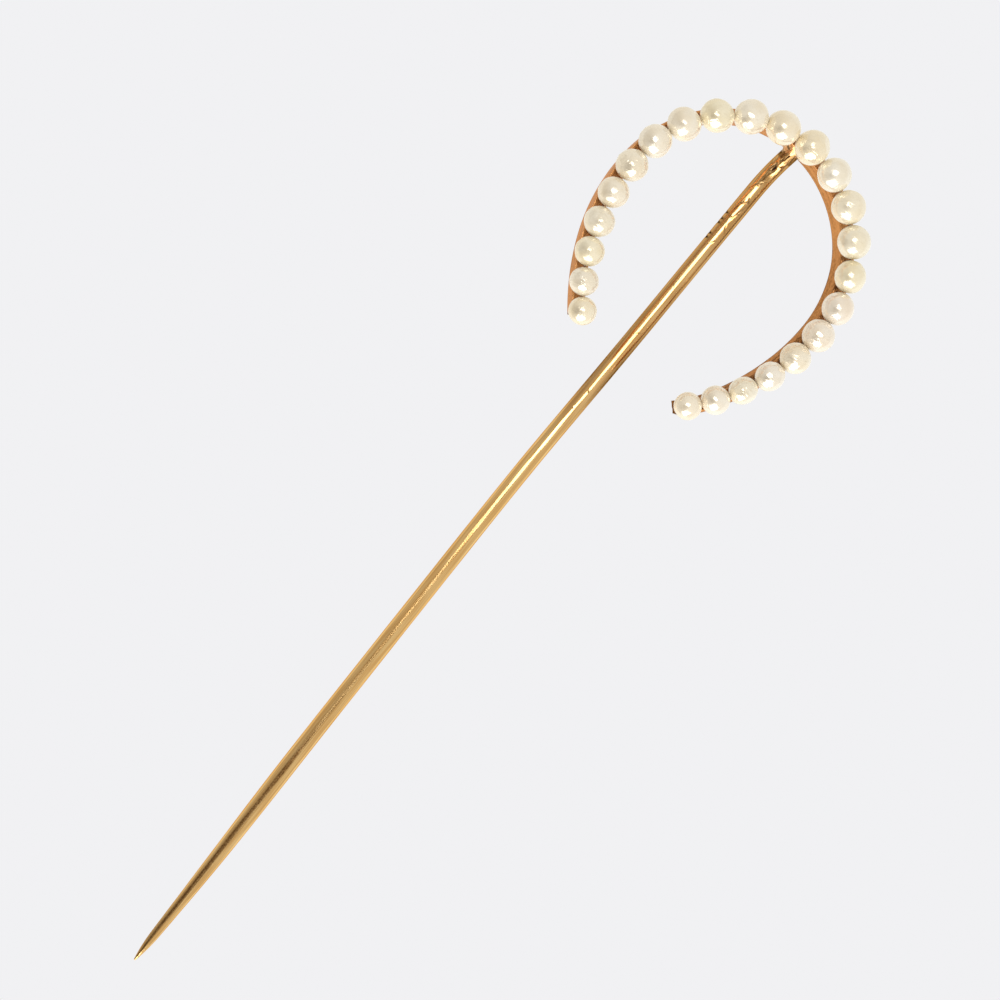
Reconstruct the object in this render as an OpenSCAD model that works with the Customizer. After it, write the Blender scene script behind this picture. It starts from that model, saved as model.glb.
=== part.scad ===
// Stick pin with a horseshoe head set with graduated seed pearls.
//
// The pearls stand on pegs in a shallow gutter along the front edge of the
// horseshoe bar. The shaft hangs down behind the open head. Its neck comes
// forward and is soldered to the inside of the bar at the crown.
// The shaft runs along Z with its point down, and the pearls face -Y.
// The origin is on the shaft's axis, halfway along its straight grip length.

/* [Shaft] */
// Diameter of the shaft
shaft_d = 1.1; // [1:0.05:1.1]
// Diameter of the blunt tip
tip_d = 0.12; // [0.08:0.01:0.2]
// Length of the short final point
point_len = 1.7; // [1.2:0.1:2.5]
// Diameter where the final point meets the long taper
point_d = 0.58; // [0.5:0.01:0.65]
// Length from the tip to where the full diameter begins
taper_len = 15; // [10:0.5:20]
// Length of the straight part that passes through the cloth
grip_len = 25; // [18:1:28]
// Angle of the slight bend above the grip
bend_angle = 1.5; // [1.5:0.1:1.6]
// Radius of the slight bend
bend_r = 20; // [15:1:30]
// Length of the straight part between the bend and the neck
upper_len = 21.2; // [20.9:0.1:21.4]
// Radius of the neck's forward bend
neck_r = 4.7; // [4.5:0.1:4.9]
// Angle of the neck's forward bend
neck_angle = 33; // [32:0.5:34]

/* [Nicks on the upper shaft] */
// Number of shallow nicks in the shaft's side
nick_count = 5; // [2:1:6]
// Distance between nicks
nick_pitch = 0.56; // [0.45:0.01:0.7]
// Depth of each nick
nick_depth = 0.05; // [0.03:0.01:0.08]

/* [Horseshoe outline] */
// Radius of the arch, to the line of the pearls
arch_r = 8; // [7.9:0.05:8.1]
// Radius of the two side arcs
side_r = 14; // [13:0.5:16]
// Length of bar beyond the last pearls' centres
bar_overrun = 0.22; // [0.2:0.02:1]

/* [Horseshoe bar] */
// Width of the bar's front edge
bar_w = 0.84; // [0.78:0.01:0.9]
// Width of the bar's back edge
bar_back_w = 0.8; // [0.7:0.01:0.9]
// Depth of the bar, front to back
bar_depth = 1.65; // [1.5:0.05:1.8]
// How far the front edge's middle lies inside the line of the pearls
bar_inset = 0; // [0:0.01:0.08]
// How far the back edge's middle lies inside the line of the pearls
bar_back_inset = 0.13; // [0.1:0.01:0.22]
// Width of the gutter
gutter_w = 0.46; // [0.42:0.01:0.5]
// Depth of the gutter
gutter_depth = 0.3; // [0.2:0.01:0.4]

/* [Pearls] */
// Number of pearls, an odd number
pearl_count = 23; // [21:2:23]
// Diameter of the crown pearl
crown_pearl_d = 2.2; // [2.1:0.01:2.24]
// Diameter of the end pearls
end_pearl_d = 1.75; // [1.6:0.01:1.8]
// Gap between neighbours
pearl_gap = 0.03; // [0.02:0.005:0.05]
// Diameter of the pegs and of the bores they fill
peg_d = 0.3; // [0.24:0.01:0.34]
// Length of peg set into the bar below the gutter
peg_root = 0.45; // [0.3:0.05:0.6]
// Diameter of the cement collar
cement_d = 0.38; // [0.36:0.005:0.39]

/* [Head on the shaft] */
// How far the middle of the arch lies in front of the shaft's axis
head_forward = 4.09; // [4.05:0.01:4.15]
// Height of the middle of the arch above the neck's start
head_rise = -3.82; // [-3.9:0.01:-3.75]
// Angle by which the open end swings forward
head_pitch = 7.6; // [7.2:0.1:8]
// Angle by which the head leans to the side
head_lean = 3.2; // [2:0.1:4.5]

/* [Hidden] */
$fn = 64;
shaft_rad = shaft_d / 2;
tip_z = -(taper_len + grip_len / 2);
grip_top_z = grip_len / 2;
neck_x = bend_r * (1 - cos(bend_angle)) + upper_len * sin(bend_angle);
neck_z = grip_top_z + bend_r * sin(bend_angle) + upper_len * cos(bend_angle);
head_x = neck_x;
head_z = neck_z + head_rise;
mid = (pearl_count + 1) / 2;
quarter = arch_r * PI / 2;
rim_y = 0.95;
gutter_y = rim_y + gutter_depth;
bar_back_y = rim_y + bar_depth;
wall_n = bar_back_inset + bar_back_w / 2 - 0.03;
wall_z = head_z + (arch_r - wall_n) * cos(head_pitch) - 1.8 * sin(head_pitch);
neck_run = (wall_z - neck_z - neck_r * sin(neck_angle)) / cos(neck_angle);
wall_turn = atan((wall_z - neck_z) * tan(bend_angle) / (wall_z - head_z)) - head_lean;

gold = [0.86, 0.68, 0.36];
rose_gold = [0.80, 0.58, 0.38];
cream = [0.92, 0.87, 0.77];
cement_grey = [0.55, 0.50, 0.42];

function pad2(i) = i < 10 ? str("0", i) : str(i);
function pearl_node(i) = str("pearl_", pad2(i));

// Pearl sizes fall off smoothly from the crown to both ends.
function pearl_d(i) =
    end_pearl_d + (crown_pearl_d - end_pearl_d) * cos(90 * (i - mid) / (mid - 1));

// Distance along the row from the crown pearl to pearl i.
function run_to(i) =
    i == mid ? 0
    : i > mid ? run_to(i - 1) + (pearl_d(i - 1) + pearl_d(i)) / 2 + pearl_gap
    : -run_to(2 * mid - i);

// Point of the outline at distance s from the crown, as [x, z].
function row_point(s) =
    abs(s) <= quarter
    ? [arch_r * sin(s / arch_r * 180 / PI), arch_r * cos(s / arch_r * 180 / PI)]
    : let (b = (abs(s) - quarter) / side_r * 180 / PI)
        [sign(s) * (arch_r - side_r + side_r * cos(b)), -side_r * sin(b)];

// A pearl rests just clear of the gutter's two rims.
function pearl_y(i) = rim_y - sqrt(pow(pearl_d(i) / 2, 2) - pow(gutter_w / 2, 2)) - 0.01;

side_sweep = (run_to(pearl_count) + bar_overrun - quarter) / side_r * 180 / PI;

// Section of the bar: first the distance outwards from the line of the
// pearls, then the distance back from the pearls' plane.
bar_section = [
    [-bar_inset - bar_w / 2, rim_y],
    [-bar_inset + bar_w / 2, rim_y],
    [-bar_back_inset + bar_back_w / 2, bar_back_y],
    [-bar_back_inset - bar_back_w / 2, bar_back_y]
];
gutter_section = concat(
    [bar_section[0]],
    [[-gutter_w / 2, rim_y], [-gutter_w / 2, gutter_y], [gutter_w / 2, gutter_y], [gutter_w / 2, rim_y]],
    [bar_section[1], bar_section[2], bar_section[3]]
);

// Arc swept in the XZ plane about the Y axis, from the +X side upwards.
module arc_sweep(section, r, sweep)
    rotate([90, 0, 0])
        rotate_extrude(angle = sweep, $fn = 180)
            polygon([for (p = section) [r + p[0], -p[1]]]);

// The horseshoe: an arch and two side arcs, tangent at their joints.
module horseshoe(section) {
    arc_sweep(section, arch_r, 180);
    for (side = [0, 1])
        mirror([side, 0, 0])
            translate([arch_r - side_r, 0, 0])
                mirror([0, 0, 1])
                    arc_sweep(section, side_r, side_sweep);
}

// Round rod that starts at the origin along +Z and bends towards -X.
module bent_rod(rad, r, angle)
    translate([-r, 0, 0])
        rotate([90, 0, 0])
            rotate_extrude(angle = angle, $fn = 180)
                translate([r, 0])
                    circle(r = rad);

// Frame at the far end of such a rod.
module at_rod_end(r, angle)
    translate([-r, 0, 0])
        rotate([0, -angle, 0])
            translate([r, 0, 0])
                children();

module at_head()
    translate([head_x, -head_forward, head_z])
        rotate([-head_pitch, 0, 0])
            rotate([0, head_lean, 0])
                children();

module at_pearl(i)
    translate([row_point(run_to(i))[0], pearl_y(i), row_point(run_to(i))[1]])
        children();

// Cylinder along +Y in the head's frame, between two depths at pearl i.
module peg_shape(i, d, y0, y1)
    translate([row_point(run_to(i))[0], y0, row_point(run_to(i))[1]])
        rotate([-90, 0, 0])
            cylinder(d = d, h = y1 - y0, $fn = 32);

// Slender convex taper with a shorter final point.
module taper() {
    steps = 8;
    long_len = taper_len - point_len;
    translate([0, 0, tip_z])
        rotate_extrude()
            polygon(concat(
                [[0, 0], [tip_d / 2, 0], [tip_d * 0.5 + 0.1, point_len * 0.35]],
                [for (k = [0:steps])
                    [(point_d + (shaft_d - point_d) * sin(90 * k / steps)) / 2,
                     point_len + long_len * k / steps]],
                [[0, taper_len]]
            ));
}

// The bend above the grip leans the upper shaft towards +X.
module at_bend()
    translate([0, 0, grip_top_z])
        mirror([1, 0, 0])
            children();

module at_upper()
    at_bend()
        at_rod_end(bend_r, bend_angle)
            children();

// Frame at the neck's start, turned so that the neck bends forward, to -Y.
module at_neck()
    at_upper()
        translate([0, 0, upper_len])
            rotate([0, 0, 90])
                children();

module nicks()
    at_upper()
        translate([shaft_rad, 0, upper_len - 1.3 - nick_count * nick_pitch])
            for (k = [0:nick_count - 1])
                translate([0, -0.05, k * nick_pitch])
                    rotate([0, 45, 0])
                        cube([nick_depth * 1.414, 0.7, nick_depth * 1.414], center = true);

// The neck: a bend, then a short straight that runs on into the bar.
module neck()
    at_neck() {
        bent_rod(shaft_rad, neck_r, neck_angle);
        at_rod_end(neck_r, neck_angle)
            translate([0, 0, -0.3])
                cylinder(r = shaft_rad - 0.01, h = neck_run + 1);
    }

// Space inside the arch and behind the bar's front edge. It reaches a little
// way into the bar.
module inside_arch()
    at_head()
        translate([0, rim_y + 0.02, 0])
            rotate([-90, 0, 0])
                cylinder(r = arch_r - 0.3, h = 6, $fn = 180);

module pin_shaft()
    color(gold)
        difference() {
            union() {
                taper();
                translate([0, 0, -grip_len / 2])
                    cylinder(d = shaft_d, h = grip_len);
                at_bend() bent_rod(shaft_rad, bend_r, bend_angle);
                at_upper() cylinder(d = shaft_d, h = upper_len);
                intersection() {
                    neck();
                    inside_arch();
                }
            }
            nicks();
            at_head() arc_sweep(bar_section, arch_r, 180);
        }

module horseshoe_bar()
    color(rose_gold)
        at_head()
            difference() {
                horseshoe(gutter_section);
                for (i = [1:pearl_count])
                    peg_shape(i, peg_d, rim_y, gutter_y + peg_root);
            }

module pearl(i)
    color(cream)
        at_head()
            difference() {
                at_pearl(i) sphere(d = pearl_d(i));
                peg_shape(i, peg_d, pearl_y(i), rim_y + 1);
            }

module pearl_pegs()
    color(gold)
        at_head()
            for (i = [1:pearl_count])
                peg_shape(i, peg_d, pearl_y(i), gutter_y + peg_root);

module peg_cement()
    color(cement_grey)
        at_head()
            for (i = [1:pearl_count])
                difference() {
                    peg_shape(i, cement_d, rim_y - 0.03, gutter_y);
                    peg_shape(i, peg_d, rim_y - 1, gutter_y + peg_root);
                    at_pearl(i) sphere(d = pearl_d(i));
                }

// Solder: a fillet in the corner between the neck and the arch's inner wall.
module neck_solder()
    color(rose_gold)
        difference() {
            at_head()
                rotate([0, wall_turn, 0])
                    translate([0, 1.77, arch_r - wall_n - 0.55])
                        cylinder(r1 = shaft_rad - 0.1, r2 = shaft_rad + 0.27, h = 0.65);
            neck();
            at_head() arc_sweep(bar_section, arch_r, 180);
        }

pin_shaft();
horseshoe_bar();
for (i = [1:pearl_count])
    pearl(i);
pearl_pegs();
peg_cement();
neck_solder();
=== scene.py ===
import math

import bmesh
import bpy
import numpy as np
from mathutils import Matrix, Vector


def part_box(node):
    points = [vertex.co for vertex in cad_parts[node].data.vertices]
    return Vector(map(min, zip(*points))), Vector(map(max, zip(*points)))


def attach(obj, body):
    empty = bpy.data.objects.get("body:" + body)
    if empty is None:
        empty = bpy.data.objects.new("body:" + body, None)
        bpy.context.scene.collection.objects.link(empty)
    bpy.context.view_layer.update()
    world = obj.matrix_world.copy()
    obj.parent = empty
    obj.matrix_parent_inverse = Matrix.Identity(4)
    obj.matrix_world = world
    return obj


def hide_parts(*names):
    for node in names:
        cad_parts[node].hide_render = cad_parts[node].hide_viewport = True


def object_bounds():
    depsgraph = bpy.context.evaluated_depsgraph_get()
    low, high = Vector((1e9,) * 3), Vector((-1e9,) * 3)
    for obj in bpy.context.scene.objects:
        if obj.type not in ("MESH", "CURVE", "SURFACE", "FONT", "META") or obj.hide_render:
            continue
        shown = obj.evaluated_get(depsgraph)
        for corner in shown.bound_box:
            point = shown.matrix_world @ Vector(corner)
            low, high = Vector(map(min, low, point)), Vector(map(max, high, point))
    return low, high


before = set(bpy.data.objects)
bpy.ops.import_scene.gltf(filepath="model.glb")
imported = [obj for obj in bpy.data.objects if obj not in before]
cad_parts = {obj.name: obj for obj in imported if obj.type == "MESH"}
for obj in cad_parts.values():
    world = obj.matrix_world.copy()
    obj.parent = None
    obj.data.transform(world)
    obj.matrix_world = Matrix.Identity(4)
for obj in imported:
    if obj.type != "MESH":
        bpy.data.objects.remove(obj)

CAD_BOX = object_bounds()
MM = 0.001
BODY = "root"

# Lengths are in millimetres in the part's frame, if a comment doesn't say otherwise.
# "Place" is a length along the shaft from its point, or along the bar from its crown.

# ---------------------------------------------------------------- shaft: numbers
SHAFT_R = 0.55
TIP_Z = -27.5                     # the point
BEND_S, BEND_HALF = 40.26, 5.0    # place of the slight bend, and half its length
BEND_ANGLE = math.radians(1.5)
NECK_S = 61.72                    # place where the neck starts
NECK_R = 4.7
NECK_ANGLE = math.radians(33)
NECK_SINK = 0.34                  # how far the neck runs on into the bar
FRONT = math.radians(102.9)       # round the shaft: the side that faces the front view
SHAFT_STEP = 0.055                # between two rings of the shaft's mesh
SHAFT_SIDES = 144
SHAFT_SEED = 11
TAPER_S = (0, 0.35, 0.9, 1.7, 3.8, 5.7, 7.6, 9.5, 11.3, 13.2, 15.2)
TAPER_D = (0.10, 0.25, 0.42, 0.58, 0.70, 0.81, 0.91, 0.98, 1.04, 1.08, 1.10)
TAPER_BLUR = 8                    # rings on each side that the taper is averaged over
TIP_RINGS = 6                     # rings at the point that aren't averaged
BOWS = ((0.080, 7.0, 7.5), (0.078, 47.5, 9.0))   # height, place, half length

# Pimples where the shaft was once gripped: place, distance across.
PIMPLES = ((44.1, -0.12), (45.5, 0.03), (44.6, 0.30))
# Row of nicks along one side: place, depth.
NICKS = ((57.62, 0.030), (57.95, 0.027), (58.80, 0.033), (59.12, 0.024), (59.60, 0.036))
NICK_ACROSS, NICK_REACH, NICK_HALF = -0.505, 0.24, 0.085
# Slanting scratches: place, distance across, slope, depth, width, half length, redness.
SCRATCHES = (
    (57.5, -0.02, 1.3, 0.014, 0.035, 0.20, 0.3),
    (58.7, 0.10, -1.5, 0.012, 0.035, 0.18, 0.3),
    (59.5, -0.14, 0.15, 0.024, 0.040, 0.17, 1.0),
    (60.7, -0.02, 0.9, 0.026, 0.050, 0.22, 1.0),
    (60.0, 0.12, 4.0, 0.020, 0.045, 0.13, 1.0),
    (60.35, -0.20, 5.0, 0.020, 0.060, 0.10, 1.0),
    (59.9, 0.17, 0.4, 0.018, 0.035, 0.10, 0.8),
    (61.0, 0.14, -1.1, 0.022, 0.050, 0.16, 0.9),
    (61.9, -0.28, 1.8, 0.016, 0.045, 0.16, 0.8),
    (62.6, 0.05, 0.8, 0.012, 0.035, 0.25, 0.4),
    (50.2, 0.06, 0.7, 0.008, 0.030, 0.18, 0.2),
    (53.9, -0.10, -0.9, 0.008, 0.030, 0.16, 0.2),
)
SCRATCH_DIRT = 0.65
PIT_S, PIT_ACROSS, PIT_DEPTH = 63.80, -0.10, 0.10
LUMP_S, LUMP_ACROSS, LUMP_HEIGHT = 64.30, 0.03, 0.055
HEAT_S, HEAT_FULL_S = 64.48, 64.72   # where the stain by the solder starts and is full

# ------------------------------------------------------------------ head: numbers
ARCH_R = 8.0
SIDE_R = 14.0
PITCH = math.radians(7.6)
LEAN = math.radians(3.2)
RIM_Y = 0.95                      # the bar's front edge, behind the pearls' plane
BAR_DEPTH = 1.65
BACK_Y = RIM_Y + BAR_DEPTH
BAR_HALF = 0.42
BAR_BACK_IN, BAR_BACK_OUT = -0.53, 0.27
BAR_OVERRUN = 0.22
BAR_RINGS = 860
BAR_SEED = 21
ARC_OVER_CHORD = 1.0015           # the row's length along its curve, over its chords' sum
GUTTER_HALF = 0.23
GUTTER_DEPTH = 0.30
SECTION_STEP = 0.07               # longest distance between points of the bar's section
# Radius of each of the section's corners, in the order that bar_section lists them.
CORNER_R = (0.05, 0.035, 0.04, 0.04, 0.035, 0.05, 0.07, 0.07)
# The strip was bent by hand, so its line wanders: outward, place, half length.
WANDER = ((0.10, -16.0, 3.5), (0.09, -11.0, 6.0), (-0.05, 3.0, 3.0), (-0.04, 11.0, 2.5),
          (0.19, 22.5, 3.5))

PEARL_COUNT = 23
CROWN = 12
PEARL_CLEARANCE = 0.01            # between a pearl and the gutter's rims
SPHERE_SUBDIVISIONS = 6
PINK = (17, 18, 23)
CREAM = (1, 3, 9, 12, 16)
WRINKLED = (2, 4, 6, 18, 19, 20, 21)
SMOOTH = (8, 11, 13, 17, 22, 23)
NARROW = {15: 0.95, 16: 0.91, 17: 0.95, 20: 0.93, 21: 0.91}   # ovals: width over length
FLATTENED = 12
FLAT_WAY = np.array([0.572, -0.490, 0.656])   # to the neighbour on the right, and forward
FLAT_AT, FLAT_SHARE = 0.92, 0.85              # radii from the centre; share pressed in
# way of the painted dark reflection on each pearl, toward the camera
PAINTED_REFLECTION_WAY = np.array([-0.413, -0.870, -0.268])

SOLDER_STEP = 0.01                # along the neck, where the fillet is worked out
SOLDER_SIDES, SOLDER_RINGS = 120, 22
SOLDER_SEED = 51

# ------------------------------------------------------------------------ colours
YELLOW_DEEP, YELLOW_PALE = (0.86, 0.52, 0.195), (0.97, 0.665, 0.30)
COPPER_DEEP, COPPER_PALE = (0.80, 0.455, 0.17), (0.94, 0.615, 0.28)
# The first colour is brown toning, also used for painted shade and a painted dark reflection; the
# second is near black, for painted shade in hollows and for stain.
SHAFT_TONE_AND_SHADE, SHAFT_SHADE_AND_STAIN = (0.16, 0.080, 0.026), (0.030, 0.018, 0.010)
SHAFT_EDGE, ROSE_EDGE = (0.72, 0.50, 0.30), (0.78, 0.60, 0.46)   # at a grazing angle
PEG_DEEP, PEG_PALE = (0.80, 0.46, 0.18), (0.92, 0.58, 0.26)
ROSE_DEEP, ROSE_PALE, ROSE_BLOTCH = (0.76, 0.365, 0.14), (0.84, 0.43, 0.18), (0.80, 0.37, 0.155)
# The second colour here is for grime and for painted shade on the strip.
ROSE_SPECK, ROSE_DIRT_AND_SHADE = (0.42, 0.185, 0.07), (0.17, 0.075, 0.03)
SOLDER_DEEP, SOLDER_PALE = (0.70, 0.32, 0.12), (0.97, 0.60, 0.30)
SOLDER_STAIN = (0.15, 0.080, 0.035)
CEMENT_DEEP, CEMENT_PALE = (0.30, 0.20, 0.11), (0.62, 0.50, 0.33)
# Nacre, and what a warmer or a pinker pearl adds to it.
NACRE, NACRE_WARM, NACRE_PINK = (0.915, 0.85, 0.715), (0, -0.010, -0.055), (0.010, -0.012, 0.006)
NACRE_DEEP = (0.875, 0.775, 0.60)
NACRE_DEEP_WARM, NACRE_DEEP_PINK = (-0.01, -0.02, -0.065), (0.012, -0.018, 0.006)
# The second colour here is the painted dark reflection on the pearls.
NACRE_WRINKLE, NACRE_PAINTED_REFLECTION, NACRE_SHEEN = (0.70, 0.61, 0.46), (0.46, 0.40, 0.30), (1.0, 0.95, 0.82)
PAPER = (0.879, 0.879, 0.896)


# ------------------------------------------------------------------------ helpers
def box_mm(node):
    lo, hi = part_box(node)
    return np.array(lo) / MM, np.array(hi) / MM


def smoothstep(a, b, x):
    """0 before a, 1 past b, smooth between; it falls with x when a is the larger."""
    t = np.clip((x - a) / (b - a), 0, 1)
    return t * t * (3 - 2 * t)


def bell(x, centre, width):
    return np.exp(-(((x - centre) / width) ** 2))


def bells(x, rows):
    """Sum of bells, each given as (height, centre, width)."""
    return sum(height * bell(x, centre, width) for height, centre, width in rows)


def cap(d, centre, size):
    """1 where the unit vectors d point to the centre, fading over an angle in radians."""
    return np.exp(-((np.arccos(np.clip(d @ centre, -1, 1)) / size) ** 2))


def bezier(p0, p1, p2, t):
    return (1 - t) ** 2 * p0 + 2 * t * (1 - t) * p1 + t * t * p2


def unit(v):
    return v / np.linalg.norm(v, axis=-1, keepdims=True)


def lattice_noise(seed, cells=32):
    """Smooth seeded noise in 3-D, about -1 to 1."""
    table = np.random.default_rng(seed).uniform(-1, 1, (cells, cells, cells))

    def noise(p):
        p = np.asarray(p, float)
        i = np.floor(p).astype(int)
        f = p - i
        f = f * f * (3 - 2 * f)
        out = 0.0
        for corner in np.ndindex(2, 2, 2):
            weight = 1.0
            for axis, far in enumerate(corner):
                weight = weight * (f[..., axis] if far else 1 - f[..., axis])
            x, y, z = ((i[..., axis] + far) % cells for axis, far in enumerate(corner))
            out = out + weight * table[x, y, z]
        return out

    return noise


def linked(obj):
    bpy.context.scene.collection.objects.link(obj)
    return obj


def mesh_object(name, verts_mm, faces, material, slot, node, **values):
    """Smooth mesh that rides on the body; each extra value is stored at its vertices."""
    mesh = bpy.data.meshes.new(name)
    mesh.from_pydata([tuple(v) for v in np.asarray(verts_mm) * MM], [], faces)
    mesh.update()
    mesh.polygons.foreach_set("use_smooth", [True] * len(mesh.polygons))
    for key, data in values.items():
        stored = mesh.attributes.new(key, "FLOAT", "POINT")
        stored.data.foreach_set("value", np.asarray(data, np.float32))
    obj = linked(bpy.data.objects.new(name, mesh))
    obj.data.materials.append(material)
    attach(obj, BODY)
    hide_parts(node)
    return obj


def side_faces(rings, sides):
    """Faces between each ring of vertices and the next."""
    faces = []
    for i in range(rings - 1):
        for j in range(sides):
            k = (j + 1) % sides
            faces.append((i * sides + j, i * sides + k, (i + 1) * sides + k, (i + 1) * sides + j))
    return faces


def tube_faces(rings, sides):
    """Faces of a closed tube: rings x sides vertices, then one vertex for each end."""
    faces = side_faces(rings, sides)
    first, last = rings * sides, rings * sides + 1
    for j in range(sides):
        k = (j + 1) % sides
        faces.append((first, k, j))
        faces.append((last, (rings - 1) * sides + j, (rings - 1) * sides + k))
    return faces


# --------------------------------------------------------------- the head's frame
def head_matrix():
    c, s = math.cos(LEAN), math.sin(LEAN)
    lean = np.array([[c, 0, s], [0, 1, 0], [-s, 0, c]])
    c, s = math.cos(-PITCH), math.sin(-PITCH)
    pitch = np.array([[1, 0, 0], [0, c, -s], [0, s, c]])
    return pitch @ lean


HEAD = head_matrix()
PEARLS = []                       # centre and radius of each, from the CAD nodes' boxes
for n in range(1, PEARL_COUNT + 1):
    lo, hi = box_mm("pearl_%02d" % n)
    PEARLS.append(((lo + hi) / 2, (hi[0] - lo[0]) / 2))
crown_c, crown_r = PEARLS[CROWN - 1]
crown_y = RIM_Y - math.sqrt(crown_r ** 2 - GUTTER_HALF ** 2) - PEARL_CLEARANCE
HEAD_O = crown_c - HEAD @ np.array([0, crown_y, ARCH_R])


def from_head(p):
    return HEAD_O + np.asarray(p) @ HEAD.T


def to_head(p):
    return (np.asarray(p) - HEAD_O) @ HEAD


def outline(s):
    """Point and outward direction of the horseshoe's line at distance s from the crown."""
    quarter = ARCH_R * math.pi / 2
    a = np.abs(s)
    sg = np.sign(s)
    arch = a <= quarter
    t1 = a / ARCH_R
    t2 = (a - quarter) / SIDE_R
    x = np.where(arch, ARCH_R * np.sin(t1), ARCH_R - SIDE_R + SIDE_R * np.cos(t2))
    z = np.where(arch, ARCH_R * np.cos(t1), -SIDE_R * np.sin(t2))
    nx = np.where(arch, np.sin(t1), np.cos(t2))
    nz = np.where(arch, np.cos(t1), -np.sin(t2))
    return np.stack([sg * x, z], -1), np.stack([sg * nx, nz], -1)


def wall_radius(y):
    """Radius of the arch's inner wall at a depth y in the head's frame."""
    f = (y - RIM_Y) / BAR_DEPTH
    return ARCH_R - BAR_HALF * (1 - f) + BAR_BACK_IN * f


# ---------------------------------------------------------------------- materials
class Nodes:
    """Short calls that build a node material."""

    def __init__(self, name):
        self.mat = bpy.data.materials.new(name)
        self.mat.use_nodes = True
        self.tree = self.mat.node_tree
        self.tree.nodes.clear()
        out = self.new("ShaderNodeOutputMaterial")
        self.shader = self.new("ShaderNodeBsdfPrincipled")
        self.link(self.shader.outputs[0], out.inputs[0])
        coord = self.new("ShaderNodeTexCoord")
        self.mm = self.vec("MULTIPLY", coord.outputs["Object"], (1 / MM,) * 3)

    def new(self, kind, **props):
        node = self.tree.nodes.new(kind)
        for key, value in props.items():
            setattr(node, key, value)
        return node

    def link(self, a, b):
        self.tree.links.new(a, b)

    def put(self, socket, value):
        if isinstance(value, bpy.types.NodeSocket):
            self.link(value, socket)
        elif socket.type == "RGBA" and len(value) == 3:
            socket.default_value = (*value, 1)
        else:
            socket.default_value = value

    def vec(self, op, a, b):
        node = self.new("ShaderNodeVectorMath", operation=op)
        self.put(node.inputs[0], a)
        self.put(node.inputs[1], b)
        return node.outputs[0]

    def math(self, op, a, b, clamp=False):
        node = self.new("ShaderNodeMath", operation=op, use_clamp=clamp)
        self.put(node.inputs[0], a)
        self.put(node.inputs[1], b)
        return node.outputs[0]

    def add(self, a, b, clamp=False):
        return self.math("ADD", a, b, clamp)

    def times(self, a, b, clamp=False):
        return self.math("MULTIPLY", a, b, clamp)

    def stored(self, name):
        return self.new("ShaderNodeAttribute", attribute_name=name).outputs["Fac"]

    def noise(self, scale, seed, detail, rough):
        """Noise with a scale per millimetre: one number, or one for each axis."""
        axes = (scale,) * 3 if isinstance(scale, (int, float)) else scale
        node = self.new("ShaderNodeTexNoise", noise_dimensions="4D")
        self.put(node.inputs["Vector"], self.vec("MULTIPLY", self.mm, axes))
        node.inputs["W"].default_value = seed
        node.inputs["Scale"].default_value = 1.0
        node.inputs["Detail"].default_value = detail
        node.inputs["Roughness"].default_value = rough
        return node.outputs[0]

    def ramp(self, value, a, b, lo=0.0, hi=1.0):
        """lo below a, hi above b, smooth between."""
        node = self.new("ShaderNodeMapRange", interpolation_type="SMOOTHSTEP")
        self.put(node.inputs[0], value)
        for i, v in enumerate((a, b, lo, hi)):
            node.inputs[i + 1].default_value = v
        return node.outputs[0]

    def mix(self, fac, a, b):
        node = self.new("ShaderNodeMix", data_type="RGBA", blend_type="MIX")
        self.put(node.inputs[0], fac)
        self.put(node.inputs[6], a)
        self.put(node.inputs[7], b)
        return node.outputs[2]

    def relief(self, *heights):
        """Normal from a sum of heights, each given as (value, millimetres)."""
        total = None
        for value, size in heights:
            part = self.times(value, size)
            total = part if total is None else self.add(total, part)
        node = self.new("ShaderNodeBump")
        node.inputs["Strength"].default_value = 1.0
        node.inputs["Distance"].default_value = MM
        self.link(total, node.inputs["Height"])
        return node.outputs[0]

    def set(self, **values):
        for key, value in values.items():
            self.put(self.shader.inputs[key.replace("_", " ")], value)


def shaft_gold():
    """Drawn gold wire: fine lengthwise lines; brown toning mixed with painted shade and a painted
    dark reflection, and near-black painted shade in hollows.
    """
    n = Nodes("yellow_gold")
    dirt, red, shade_and_stain = n.stored("dirt"), n.stored("red"), n.stored("shade_and_stain")
    fine = n.noise((11, 11, 0.30), seed=1.0, detail=1, rough=0.5)
    broad = n.noise((3.5, 3.5, 0.10), seed=2.0, detail=2, rough=0.5)
    grain = n.noise(8.0, seed=4.0, detail=3, rough=0.7)
    yellow = n.mix(n.ramp(fine, 0.36, 0.64), YELLOW_DEEP, YELLOW_PALE)
    copper = n.mix(n.ramp(fine, 0.36, 0.64), COPPER_DEEP, COPPER_PALE)
    streak = n.times(n.ramp(broad, 0.55, 0.70), 0.22)
    patchy_dirt = n.times(dirt, n.ramp(grain, 0.25, 0.75, 0.75, 1.15))
    toned_and_shaded = n.add(patchy_dirt, streak, clamp=True)
    # painted shade and a painted dark reflection are mixed in here with the brown toning
    colour = n.mix(toned_and_shaded, n.mix(red, yellow, copper), SHAFT_TONE_AND_SHADE)
    colour = n.mix(shade_and_stain, colour, SHAFT_SHADE_AND_STAIN)
    rough = n.add(n.ramp(fine, 0.3, 0.7, 0.10, 0.17), n.times(dirt, 0.22))
    rough = n.add(rough, n.times(shade_and_stain, 0.35))
    grit = n.times(grain, n.stored("grit"))
    n.set(Base_Color=colour, Metallic=1.0, Roughness=rough, Specular_Tint=SHAFT_EDGE,
          Normal=n.relief((fine, 0.0042), (broad, 0.012), (grit, 0.012)))
    return n.mat


def peg_gold():
    n = Nodes("peg_gold")
    fine = n.noise((9, 2, 9), seed=31.0, detail=3, rough=0.6)
    n.set(Base_Color=n.mix(n.ramp(fine, 0.35, 0.65), PEG_DEEP, PEG_PALE), Metallic=1.0,
          Roughness=n.ramp(fine, 0.3, 0.7, 0.22, 0.38), Normal=n.relief((fine, 0.003)))
    return n.mat


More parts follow.
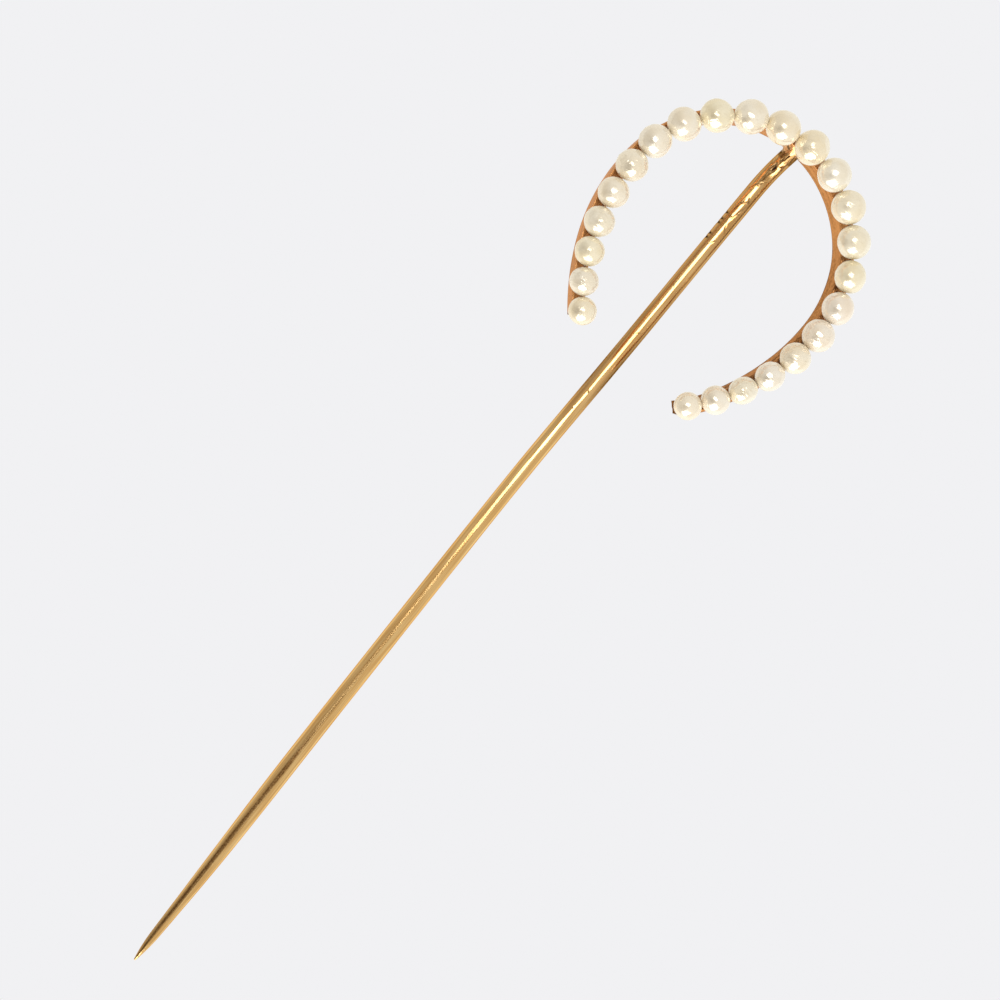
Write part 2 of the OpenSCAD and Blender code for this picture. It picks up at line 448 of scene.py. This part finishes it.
def bar_gold():
    """Rolled rose gold strip, satin, with faint lines along its length."""
    n = Nodes("rose_gold")
    dirt, line = n.stored("dirt"), n.stored("line")
    grain = n.noise(6.0, seed=5.0, detail=4, rough=0.65)
    blotch = n.noise(0.8, seed=7.0, detail=2, rough=0.5)
    speck = n.noise(5.5, seed=6.0, detail=3, rough=0.65)
    dirt = n.times(dirt, n.ramp(speck, 0.35, 0.65, 0.62, 1.38), clamp=True)
    colour = n.mix(line, ROSE_DEEP, ROSE_PALE)
    colour = n.mix(n.ramp(blotch, 0.45, 0.75, 0.0, 0.5), colour, ROSE_BLOTCH)
    colour = n.mix(n.ramp(speck, 0.48, 0.66, 0.0, 0.34), colour, ROSE_SPECK)
    # painted shade, mixed with grime: darker where the stored mask is high
    colour = n.mix(dirt, colour, ROSE_DIRT_AND_SHADE)
    rough = n.add(n.ramp(grain, 0.3, 0.7, 0.24, 0.36), n.times(dirt, 0.2))
    n.set(Base_Color=colour, Metallic=1.0, Roughness=rough, Specular_Tint=ROSE_EDGE,
          Normal=n.relief((line, 0.005), (grain, 0.005), (speck, 0.004)))
    return n.mat


def solder_gold():
    n = Nodes("solder_gold")
    grain = n.noise(5.0, seed=8.0, detail=3, rough=0.6)
    stain = n.noise(2.4, seed=61.0, detail=2, rough=0.6)
    colour = n.mix(n.ramp(grain, 0.40, 0.65), SOLDER_DEEP, SOLDER_PALE)
    colour = n.mix(n.ramp(stain, 0.50, 0.60, 0.0, 0.85), colour, SOLDER_STAIN)
    n.set(Base_Color=colour, Metallic=1.0, Roughness=n.ramp(grain, 0.3, 0.7, 0.16, 0.30),
          Normal=n.relief((grain, 0.03)))
    return n.mat


def cement_material():
    n = Nodes("cement")
    grain = n.noise(9.0, seed=9.0, detail=3, rough=0.6)
    n.set(Base_Color=n.mix(n.ramp(grain, 0.35, 0.65), CEMENT_DEEP, CEMENT_PALE),
          Roughness=n.ramp(grain, 0.3, 0.7, 0.5, 0.75), Normal=n.relief((grain, 0.02)))
    return n.mat


def pearl_material(index, rng, wrinkles):
    """Nacre: cream body with a soft metallic lustre, faint clouds and growth wrinkles."""
    n = Nodes("pearl_%02d" % index)
    seed = 20.0 + index * 3.7
    cloud = n.noise(0.9, seed=seed, detail=2, rough=0.5)
    wrinkle = n.noise((2.2, 2.2, 4.5), seed=seed + 1, detail=2, rough=0.5)
    warm, pink = rng.uniform(-1, 1, 2)
    warm = 0.9 if index in CREAM else 0.7 * warm - 0.15
    pink = 0.35 if index in PINK else 0.4 * pink - 0.2
    light = np.array(NACRE) + warm * np.array(NACRE_WARM) + pink * np.array(NACRE_PINK)
    deep = (np.array(NACRE_DEEP) + warm * np.array(NACRE_DEEP_WARM)
            + pink * np.array(NACRE_DEEP_PINK))
    colour = n.mix(n.ramp(cloud, 0.35, 0.70), tuple(light), tuple(deep))
    colour = n.mix(n.ramp(wrinkle, 0.58, 0.72, 0.0, 0.30 * wrinkles), colour, NACRE_WRINKLE)
    # painted dark reflection on the side of each pearl toward the camera
    grey = n.times(n.stored("grey"), n.ramp(wrinkle, 0.35, 0.65, 0.7, 1.1), clamp=True)
    colour = n.mix(grey, colour, NACRE_PAINTED_REFLECTION)
    n.set(Base_Color=colour, Roughness=n.ramp(wrinkle, 0.3, 0.7, 0.15, 0.24), Metallic=0.38,
          Normal=n.relief((wrinkle, 0.027 * wrinkles ** 1.6), (cloud, 0.02)),
          IOR=1.6, Coat_Weight=0.20, Coat_Roughness=0.10,
          Sheen_Weight=0.6, Sheen_Roughness=0.3, Sheen_Tint=NACRE_SHEEN)
    return n.mat


# -------------------------------------------------------------------------- shaft
def shaft_axis(step):
    """Centre line of the shaft from the point to just inside the bar."""
    s = [0.0]
    pos = [np.array([0.0, 0.0, TIP_Z])]
    dirs = []
    while True:
        u = s[-1]
        lean = BEND_ANGLE * float(smoothstep(BEND_S - BEND_HALF, BEND_S + BEND_HALF, u))
        fwd = min(max(0.0, u - NECK_S) / NECK_R, NECK_ANGLE)
        dirs.append(np.array([math.sin(lean) * math.cos(fwd), -math.sin(fwd),
                              math.cos(lean) * math.cos(fwd)]))
        h = to_head(pos[-1])
        if u > NECK_S and math.hypot(h[0], h[2]) > wall_radius(h[1]) + NECK_SINK:
            break
        pos.append(pos[-1] + dirs[-1] * step)
        s.append(u + step)
    s, pos = np.array(s), np.array(pos)
    pos[:, 0] += bells(s, BOWS)
    return s, pos, np.array(dirs)


def side_axes(dirs):
    e1 = unit(np.cross([0.0, 1.0, 0.0], dirs))
    return e1, np.cross(e1, dirs)


class Skin:
    """The shaft's surface as a grid: place S, angle T, radius, and what is stored there."""

    def __init__(self, s):
        r = np.interp(s, TAPER_S, TAPER_D) / 2
        tip = r[:TIP_RINGS].copy()
        span = 2 * TAPER_BLUR + 1
        r = np.convolve(np.pad(r, TAPER_BLUR, "edge"), np.ones(span) / span, "valid")
        r[:TIP_RINGS] = tip
        theta = np.linspace(0, 2 * math.pi, SHAFT_SIDES, endpoint=False)
        self.S = np.repeat(s[:, None], SHAFT_SIDES, 1)
        self.T = np.repeat(theta[None, :], len(s), 0)
        self.rad = np.repeat(r[:, None], SHAFT_SIDES, 1)
        self.noise = lattice_noise(SHAFT_SEED)
        self.cyl = np.stack([np.cos(self.T) * 1.3, np.sin(self.T) * 1.3, self.S * 0.22], -1)
        self.cloud = self.wave([2, 2, 2.5], 13) * 0.5 + 0.5
        self.dirt, self.shade_and_stain = np.zeros_like(self.S), np.zeros_like(self.S)

    def wave(self, scale, shift):
        return self.noise(self.cyl * scale + shift)

    def off(self, across):
        """Arc distance from a line that lies this far right of the front's middle."""
        centre = FRONT - np.arcsin(across / SHAFT_R)
        return -((self.T - centre + math.pi) % (2 * math.pi) - math.pi) * SHAFT_R

    def line(self, across, width):
        return bell(self.off(across), 0, width)


def age_lower(k):
    """Dark line that widens from the point and a brown band, partly toning and partly a painted
    dark reflection; specks further up.
    """
    S = k.S
    # painted dark reflection, partly toning: a dark line and band down the front of the lower
    # shaft
    centre_line = k.off(-0.125 + 0.105 * smoothstep(7, 16, S))
    width = 0.10 + 0.06 * bell(S, 9, 4)
    k.dirt += 0.90 * bell(centre_line, 0, width) * smoothstep(20.5, 14.0, S)
    band = smoothstep(0.5, 4.0, S) * smoothstep(34.0, 18.0, S)
    k.dirt += 0.36 * k.line(-0.13, 0.23) * band * (0.75 + 0.4 * k.cloud)
    # darker on one side near the point
    k.dirt += 0.55 * bell(S, 2.0, 3.2) * smoothstep(-0.05, -0.30, k.off(0.0) * SHAFT_R / k.rad)
    k.dirt += 0.45 * k.line(-0.02, 0.13) * bell(S, 15.4, 1.3)
    scored = k.line(0.0, 0.022) * smoothstep(16.5, 17.2, S) * smoothstep(23.2, 22.4, S)
    k.dirt += 0.55 * scored
    k.rad -= 0.010 * scored


def age_upper(k):
    """Brown on both flanks of the upper shaft, partly toning and partly painted shade, and a long
    scored line.
    """
    S, cloud = k.S, k.cloud
    # painted shade, partly toning: both flanks beside the side that faces the front view are
    # darkened
    flank = smoothstep(0.35, 0.95, np.abs(np.sin(k.T - FRONT)))
    flank_darkening = 0.55 * bell(S, 46.5, 3.6) + 0.42 * smoothstep(44, 47, S)
    k.dirt += flank * flank_darkening * (0.55 + 0.6 * cloud)
    k.dirt += 0.45 * k.line(0.27, 0.10) * bell(S, 53.3, 1.0) * cloud
    k.dirt += 0.35 * k.line(0.22, 0.20) * smoothstep(55, 58, S) * cloud
    scored = k.line(0.385, 0.028) * smoothstep(57.0, 58.5, S) * smoothstep(63.0, 62.0, S)
    k.dirt += 0.85 * scored
    k.rad -= 0.012 * scored
    k.dirt += 0.42 * k.line(-0.25, 0.13) * smoothstep(50, 56, S) * (0.6 + 0.5 * cloud)


def mark_shaft(k):
    """Pimples, nicks, slanting scratches and fine pits."""
    S = k.S
    for at, across in PIMPLES:
        k.rad += 0.020 * bell(S, at, 0.07) * k.line(across, 0.06)
    for at, deep in NICKS:
        mark = bell(S, at, NICK_HALF) * k.line(NICK_ACROSS, NICK_REACH)
        k.rad -= deep * mark
        # painted shade: the nicks are coloured near black
        k.shade_and_stain += 1.2 * mark
    for at, across, slope, deep, wide, reach, tint in SCRATCHES:
        d = k.off(across)
        mark = bell(S - at - slope * d, 0, wide * math.hypot(1, slope)) * bell(d, 0, reach)
        k.rad -= deep * mark
        k.dirt += SCRATCH_DIRT * mark
        k.red = np.maximum(k.red, mark * tint)
    pitted = np.clip(k.wave([5, 5, 14], 3), 0, 1)
    k.rad -= 0.010 * pitted * smoothstep(57.0, 61.0, S) * k.line(0.0, 0.5)


def age_neck_end(k):
    """Pit by the solder, the lump beside it, and the stained, roughened last of the neck."""
    S = k.S
    ragged = 0.10 * k.wave([6, 6, 18], 31)
    pit = bell(S, PIT_S, 0.34) * bell(k.off(PIT_ACROSS) + ragged, 0, 0.15)
    k.rad -= PIT_DEPTH * pit
    # painted shade: the pit is coloured near black
    k.shade_and_stain += 1.4 * pit
    patchy = k.wave([5, 5, 11], 41)
    # near-black stain patches at the end of the neck
    k.shade_and_stain += (0.16 * smoothstep(HEAT_S, HEAT_FULL_S, S)
               + 0.7 * smoothstep(64.5, 64.8, S) * smoothstep(0.25, 0.6, patchy))
    k.rad += LUMP_HEIGHT * bell(S, LUMP_S, 0.20) * k.line(LUMP_ACROSS, 0.18)
    heat = smoothstep(HEAT_S, HEAT_FULL_S, S + 0.9 * ragged)
    patches = smoothstep(0.05, 0.55, patchy)
    k.dirt += heat * (0.50 + 0.75 * patches)
    k.red = np.maximum(k.red, heat)
    k.rad -= 0.045 * heat * patches
    k.grit += 1.5 * heat


def build_shaft(material):
    s, pos, dirs = shaft_axis(SHAFT_STEP)
    e1, e2 = side_axes(dirs)
    k = Skin(s)
    k.rad += (0.005 * k.wave([1, 1, 1], 0) * (k.rad / SHAFT_R)
              + 0.002 * k.wave([3, 3, 3.5], 7))
    k.red = smoothstep(40.5, 47.0, k.S + 3.0 * k.wave(1.7, 21))
    k.grit = (0.60 * bell(k.S, 9.0, 7.0) * k.line(0.16, 0.17)
              + 0.5 * bell(k.S, 27.0, 1.6) * k.line(0.02, 0.14))
    for step in (age_lower, age_upper, mark_shaft, age_neck_end):
        step(k)
    spokes = (np.cos(k.T)[..., None] * e1[:, None, :]
              + np.sin(k.T)[..., None] * e2[:, None, :])
    ring = pos[:, None, :] + k.rad[..., None] * spokes
    verts = np.concatenate([ring.reshape(-1, 3), pos[:1], pos[-1:]])
    stored = {key: np.concatenate([np.clip(getattr(k, key), 0, 1).ravel(), [0, 0]])
              for key in ("dirt", "red", "grit", "shade_and_stain")}
    mesh_object("shaft_wire", verts, tube_faces(len(s), SHAFT_SIDES), material,
                "yellow_gold", "pin_shaft", **stored)


# ---------------------------------------------------------------------------- bar
def bar_section():
    """Section of the bar, [outward, back], with worn corners."""
    floor = RIM_Y + GUTTER_DEPTH
    corners = np.array([
        (-BAR_HALF, RIM_Y), (-GUTTER_HALF, RIM_Y), (-GUTTER_HALF, floor), (GUTTER_HALF, floor),
        (GUTTER_HALF, RIM_Y), (BAR_HALF, RIM_Y), (BAR_BACK_OUT, BACK_Y), (BAR_BACK_IN, BACK_Y)])
    pts = []
    for i, b in enumerate(corners):
        following = (i + 1) % len(corners)
        a, c = corners[i - 1], corners[following]
        p, q = b + unit(a - b) * CORNER_R[i], b + unit(c - b) * CORNER_R[i]
        for t in (0, 0.25, 0.5, 0.75, 1):
            pts.append(bezier(p, b, q, t))
        straight = c + unit(b - c) * CORNER_R[following] - q
        extra = max(0, int(np.linalg.norm(straight) / SECTION_STEP) - 1)
        for e in range(1, extra + 1):
            pts.append(q + straight * e / (extra + 1))
    return np.array(pts)


def build_bar(material):
    section = bar_section()
    row = np.array([to_head(c) for c, _ in PEARLS])[:, [0, 2]]
    row_length = np.linalg.norm(np.diff(row, axis=0), axis=1).sum()
    half = row_length / 2 * ARC_OVER_CHORD + BAR_OVERRUN
    s = np.linspace(-half, half, BAR_RINGS)
    noise = lattice_noise(BAR_SEED)
    sides = len(section)
    S = np.repeat(s[:, None], sides, 1)
    out = np.repeat(section[None, :, 0], BAR_RINGS, 0).copy()
    back = np.repeat(section[None, :, 1], BAR_RINGS, 0).copy()
    q = np.stack([S * 0.5, out * 2, back * 2], -1)
    # rolling lines, streaks of grime, painted shade in the gutter, near the front edge, on the
    # right arm's inner wall and at the ends, and darker toward the back face
    wall = np.sign(out) + 0 * S
    lines = noise(np.stack([S * 0.30, back * 7.0, wall], -1) + 3) * 0.5 + 0.5
    streak = noise(np.stack([S * 0.45, back * 3.2, wall * 3], -1) + 11)
    # painted shade, partly grime: the gutter under the pearls is darkened
    groove = ((np.abs(out) < GUTTER_HALF + 0.01) & (back > RIM_Y + 0.06)
              & (back < RIM_Y + GUTTER_DEPTH + 0.02))
    dirt = 0.32 * groove + 0.30 * smoothstep(0.28, 0.75, streak) * (back > RIM_Y + 0.1)
    # painted shade near the front edge, under the pearls
    dirt += 0.26 * smoothstep(RIM_Y + 0.30, RIM_Y + 0.05, back)
    # painted shade on the inner wall of the right arm
    dirt += (0.42 + 0.20 * smoothstep(0.0, 0.5, streak)) * smoothstep(4.0, 10.0, S) * (out < 0)
    # darker toward the back face
    dirt += 0.60 * smoothstep(BACK_Y - 0.18, BACK_Y - 0.04, back)
    # painted shade and tarnish at the ends
    dirt += smoothstep(half - 0.16, half - 0.05, np.abs(S))
    out += bells(S, WANDER)
    out += 0.010 * noise(q) + 0.004 * noise(q * [3.5, 3, 3] + 5)
    back += 0.010 * noise(q + 9)
    # ragged, slightly notched ends; the one on the right is a little longer
    at_ends = np.sign(S) * smoothstep(half - 0.02, half, np.abs(S))
    S = S + at_ends * 0.04 * noise(q * [0, 3, 3] + 17)
    S = S + 0.06 * smoothstep(half - 1.5, half, S)
    p, way = outline(S.ravel())
    p = p + way * out.ravel()[:, None]
    verts = from_head(np.stack([p[:, 0], back.ravel(), p[:, 1]], -1))
    faces = side_faces(BAR_RINGS, sides)
    faces.append(tuple(range(sides - 1, -1, -1)))
    faces.append(tuple((BAR_RINGS - 1) * sides + j for j in range(sides)))
    obj = mesh_object("horseshoe_strip", verts, faces, material, "rose_gold", "horseshoe_bar",
                      dirt=np.clip(dirt, 0, 1).ravel(), line=np.clip(lines, 0, 1).ravel())
    bm = bmesh.new()
    bm.from_mesh(obj.data)
    ends = [f for f in bm.faces if len(f.verts) > 4]
    for f in ends:
        f.smooth = False
    bmesh.ops.triangulate(bm, faces=ends)
    bmesh.ops.recalc_face_normals(bm, faces=bm.faces)
    bm.to_mesh(obj.data)
    bm.free()


# ------------------------------------------------------------------------- pearls
def unit_sphere():
    bm = bmesh.new()
    bmesh.ops.create_icosphere(bm, subdivisions=SPHERE_SUBDIVISIONS, radius=1.0)
    verts = np.array([v.co[:] for v in bm.verts])
    faces = [tuple(v.index for v in f.verts) for f in bm.faces]
    bm.free()
    return unit(verts), faces


SPHERE = unit_sphere()


def build_pearl(index):
    centre, radius = PEARLS[index - 1]
    rng = np.random.default_rng(300 + index)
    noise = lattice_noise(400 + index)
    d, faces = SPHERE
    wrinkles = 1.7 if index in WRINKLED else 0.35 if index in SMOOTH else 1.0
    h = 0.020 * noise(d * 1.1 + 3) + 0.010 * noise(d * 2.3 + 9)
    h += 0.0045 * (0.4 + wrinkles) * noise(d * 5.0 + 15)
    # growth wrinkles over part of the pearl
    turn = unit(rng.normal(size=(3, 3)))
    patch = smoothstep(0.35, 0.8, noise(d * 0.9 + 21) * 0.5 + 0.5)
    ridge = np.clip(1 - 3.0 * np.abs(noise((d @ turn.T) * [2.5, 2.5, 6.0] + 31)), 0, 1)
    h -= 0.011 * wrinkles * patch * ridge
    # dimples and low swellings
    for _ in range(5):
        c = unit(rng.normal(size=3))
        size = rng.uniform(0.10, 0.40)
        deep = rng.uniform(0.004, 0.014) * (1 if rng.random() < 0.75 else -1)
        h -= deep * wrinkles ** 0.5 * cap(d, c, size)
    # faint rings
    for _ in range(int(rng.integers(0, 3))):
        c = unit(rng.normal(size=3))
        at = rng.uniform(-0.6, 0.6)
        h -= rng.uniform(0.002, 0.006) * wrinkles * bell(d @ c, at, 0.05)
    squash = 1 + 0.020 * rng.uniform(-1, 1, 3)
    # painted dark reflection: a greyer patch on the side toward the camera
    c = unit(PAINTED_REFLECTION_WAY + 0.13 * rng.normal(size=3))
    grey = rng.uniform(0.25, 0.75) * cap(d, c, rng.uniform(0.24, 0.36))
    shape = radius * (1 + h)[:, None] * d * squash
    if index in NARROW:
        along = unit(PEARLS[index][0] - PEARLS[index - 2][0])
        across = unit(np.cross(along, [0.0, 1.0, 0.0]))
        shape -= (1 - NARROW[index]) * (shape @ across)[:, None] * across
    if index == FLATTENED:
        proud = np.clip(shape @ FLAT_WAY - FLAT_AT * radius, 0, None)
        shape -= proud[:, None] * FLAT_SHARE * FLAT_WAY
    material = pearl_material(index, rng, wrinkles)
    mesh_object("seed_pearl_%02d" % index, centre + shape, faces, material,
                "pearl", "pearl_%02d" % index, grey=grey)


# ------------------------------------------------------------------------- solder
def build_solder(material):
    """Uneven fillet in the corner between the neck and the arch's inner wall."""
    s, pos, dirs = shaft_axis(SOLDER_STEP)
    e1, e2 = side_axes(dirs)
    near = s > NECK_S - 1.5
    pos, e1, e2 = pos[near], e1[near], e2[near]
    noise = lattice_noise(SOLDER_SEED)
    t = np.linspace(0, 1, SOLDER_RINGS)[:, None]
    grid = []
    for a in np.linspace(0, 2 * math.pi, SOLDER_SIDES, endpoint=False):
        spoke = math.cos(a) * e1 + math.sin(a) * e2
        skin = pos + SHAFT_R * spoke
        h = to_head(skin)
        # where this line of the neck's surface meets the wall
        gap = np.hypot(h[:, 0], h[:, 2]) - wall_radius(h[:, 1])
        hit = int(np.argmax(gap > 0)) if (gap > 0).any() else len(pos) - 1
        corner = h[hit]
        # how far the solder climbs the neck, and how far it spreads on the wall
        climb = (0.52 + 0.15 * noise([math.cos(a) * 1.7, math.sin(a) * 1.7, 0.3])
                 + 0.10 * math.cos(a - 1.9))
        spread = 0.36 + 0.14 * noise([math.cos(a) * 2.6, math.sin(a) * 2.6, 4.3])
        low = max(0, hit - int(climb / SOLDER_STEP))
        p0 = pos[low] + (SHAFT_R - 0.02) * spoke[low]
        away = to_head(skin[hit] + spoke[hit]) - corner
        radial = np.array([corner[0], 0, corner[2]]) / math.hypot(corner[0], corner[2])
        far = corner + spread * unit(away - (away @ radial) * radial)
        far[1] = min(max(far[1], RIM_Y + 0.05), BACK_Y - 0.05)
        far[[0, 2]] *= (wall_radius(far[1]) + 0.02) / math.hypot(far[0], far[2])
        p2 = from_head(far)
        p1 = skin[hit] * 0.85 + (p0 + p2) / 2 * 0.15
        curve = bezier(p0, p1, p2, t)
        lump = 0.12 * noise(curve * 2.4 + 5) * (t * (1 - t))[:, 0]
        grid.append(curve + lump[:, None] * spoke[hit])
    grid = np.array(grid).transpose(1, 0, 2)
    # a vertex inside the neck closes one end, and one inside the bar the other
    h = to_head(grid[-1].mean(0))
    h[[0, 2]] *= (wall_radius(h[1]) + 0.12) / math.hypot(h[0], h[2])
    verts = np.concatenate([grid.reshape(-1, 3), [grid[0].mean(0)], [from_head(h)]])
    mesh_object("neck_solder_fillet", verts, tube_faces(SOLDER_RINGS, SOLDER_SIDES), material,
                "solder", "neck_solder")


# ------------------------------------------------------------------------ build it
build_shaft(shaft_gold())
build_bar(bar_gold())
for number in range(1, PEARL_COUNT + 1):
    build_pearl(number)
build_solder(solder_gold())
for node, material in (("pearl_pegs", peg_gold()), ("peg_cement", cement_material())):
    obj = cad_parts[node]
    obj.data.materials.clear()
    obj.data.materials.append(material)


# ------------------------------------------------------------------------- camera
AZIMUTH, ROLL = math.radians(-12.86), math.radians(38.4)
CAMERA_DISTANCE = 0.32            # metres
VIEW_WIDTH = 0.0625               # metres across the picture at the target
SENSOR = 36


def placed(x, y, z, at):
    """Matrix with those axes, standing at that point."""
    return Matrix.Translation(at) @ Matrix((x, y, z)).transposed().to_4x4()


# side runs right along the picture plane, up along the shaft, back to the camera
back = Vector((math.sin(AZIMUTH), -math.cos(AZIMUTH), 0))
side = Vector((math.cos(AZIMUTH), math.sin(AZIMUTH), 0))
up = Vector((0, 0, 1))
cam_x = math.cos(ROLL) * side + math.sin(ROLL) * up
cam_y = -math.sin(ROLL) * side + math.cos(ROLL) * up
target = Vector((0.09, 0, 9.21)) * MM
camera_data = bpy.data.cameras.new("camera")
camera_data.sensor_width = SENSOR
camera_data.lens = SENSOR * CAMERA_DISTANCE / VIEW_WIDTH
camera_data.clip_start = 0.01
camera_data.clip_end = 10
camera = linked(bpy.data.objects.new("camera", camera_data))
camera.matrix_world = placed(cam_x, cam_y, back, target + back * CAMERA_DISTANCE)
bpy.context.scene.camera = camera


# ------------------------------------------------------------------------- lights
def area_light(name, centre, size_x, size_y, radiance):
    """Rectangle that faces the target, with its size_y along the shaft; sizes in metres."""
    data = bpy.data.lights.new(name, "AREA")
    data.shape = "RECTANGLE"
    data.size, data.size_y = size_x, size_y
    data.energy = radiance * math.pi * size_x * size_y
    z = (centre - target).normalized()
    y = (up - up.dot(z) * z).normalized()
    linked(bpy.data.objects.new(name, data)).matrix_world = placed(y.cross(z), y, z, centre)


area_light("low_softbox", target + (side * 0.38 - up * 0.81 + back * 0.44) * 0.5,
           size_x=0.44, size_y=0.50, radiance=3.7)
area_light("strip_light", target + side * -0.042 + up * 0.079 + back * 0.45,
           size_x=0.24, size_y=0.163, radiance=4.3)

# The room behind the camera, and the room behind the object.
ROOM_FRONT = ((0.58, 0.54, 0.48), (0.68, 0.65, 0.60))      # on the left, on the right
ROOM_REAR = ((0.92, 0.88, 0.80), (0.97, 0.96, 0.93))
ROOM_TOP, ROOM_FOOT = (0.84, 0.81, 0.76), (0.44, 0.40, 0.34)
# Dark shapes beside the camera: way to the side, way up, cosines at the rim and
# where it is full, colour.
DARK_SHAPES = ((-0.28, -0.37, 0.925, 0.988, (0.20, 0.165, 0.12)),
               (-0.09, -0.17, 0.930, 0.990, (0.19, 0.15, 0.10)))


def build_world():
    """A plain room that lights the object; the camera itself sees the paper's colour."""
    world = bpy.data.worlds.new("studio")
    bpy.context.scene.world = world
    world.use_nodes = True
    tree = world.node_tree
    tree.nodes.clear()
    new, link = tree.nodes.new, tree.links.new
    coord = new("ShaderNodeTexCoord")

    def ramp_of(direction, a, b):
        dot = new("ShaderNodeVectorMath")
        dot.operation = "DOT_PRODUCT"
        link(coord.outputs["Generated"], dot.inputs[0])
        dot.inputs[1].default_value = direction
        node = new("ShaderNodeMapRange")
        node.interpolation_type = "SMOOTHSTEP"
        link(dot.outputs["Value"], node.inputs[0])
        node.inputs[1].default_value, node.inputs[2].default_value = a, b
        return node.outputs[0]

    def mix(fac, a, b):
        node = new("ShaderNodeMix")
        node.data_type = "RGBA"
        link(fac, node.inputs[0])
        for socket, value in ((node.inputs[6], a), (node.inputs[7], b)):
            if isinstance(value, tuple):
                socket.default_value = (*value, 1)
            else:
                link(value, socket)
        return node.outputs[2]

    rear = mix(ramp_of(side, -0.5, 0.5), *ROOM_REAR)
    front = mix(ramp_of(side, -0.6, 0.6), *ROOM_FRONT)
    front = mix(ramp_of(up, 0.10, 0.80), front, ROOM_TOP)
    front = mix(ramp_of(up * -1, 0.10, 0.80), front, ROOM_FOOT)
    room = mix(ramp_of(back, -0.32, -0.02), rear, front)
    for x, y, rim, full, shade in DARK_SHAPES:
        dark = (side * x + up * y + back).normalized()
        room = mix(ramp_of(dark, rim, full), room, shade)
    lit, seen = new("ShaderNodeBackground"), new("ShaderNodeBackground")
    link(room, lit.inputs[0])
    seen.inputs[0].default_value = (*PAPER, 1)
    path = new("ShaderNodeLightPath")
    blend = new("ShaderNodeMixShader")
    out = new("ShaderNodeOutputWorld")
    link(path.outputs["Is Camera Ray"], blend.inputs[0])
    link(lit.outputs[0], blend.inputs[1])
    link(seen.outputs[0], blend.inputs[2])
    link(blend.outputs[0], out.inputs[0])


build_world()


# -------------------------------------------------------------------------- floor
FLOOR_RADIUS = 2.5                # metres
FLOOR_DROP = 0.0005               # metres below the object's lowest point


def build_floor():
    """Plain paper, seen by the camera only."""
    bm = bmesh.new()
    bmesh.ops.create_circle(bm, cap_ends=True, segments=96, radius=FLOOR_RADIUS)
    mesh = bpy.data.meshes.new("floor")
    bm.to_mesh(mesh)
    bm.free()
    floor = linked(bpy.data.objects.new("floor", mesh))
    floor.location = (0, 0, CAD_BOX[0][2] - FLOOR_DROP)
    paper = bpy.data.materials.new("paper")
    paper.use_nodes = True
    nodes = paper.node_tree.nodes
    nodes.clear()
    emit = nodes.new("ShaderNodeEmission")
    emit.inputs[0].default_value = (*PAPER, 1)
    out = nodes.new("ShaderNodeOutputMaterial")
    paper.node_tree.links.new(emit.outputs[0], out.inputs[0])
    mesh.materials.append(paper)
    for ray in ("diffuse", "glossy", "transmission", "volume_scatter", "shadow"):
        setattr(floor, "visible_" + ray, False)


build_floor()

bpy.context.scene.view_settings.view_transform = "Standard"
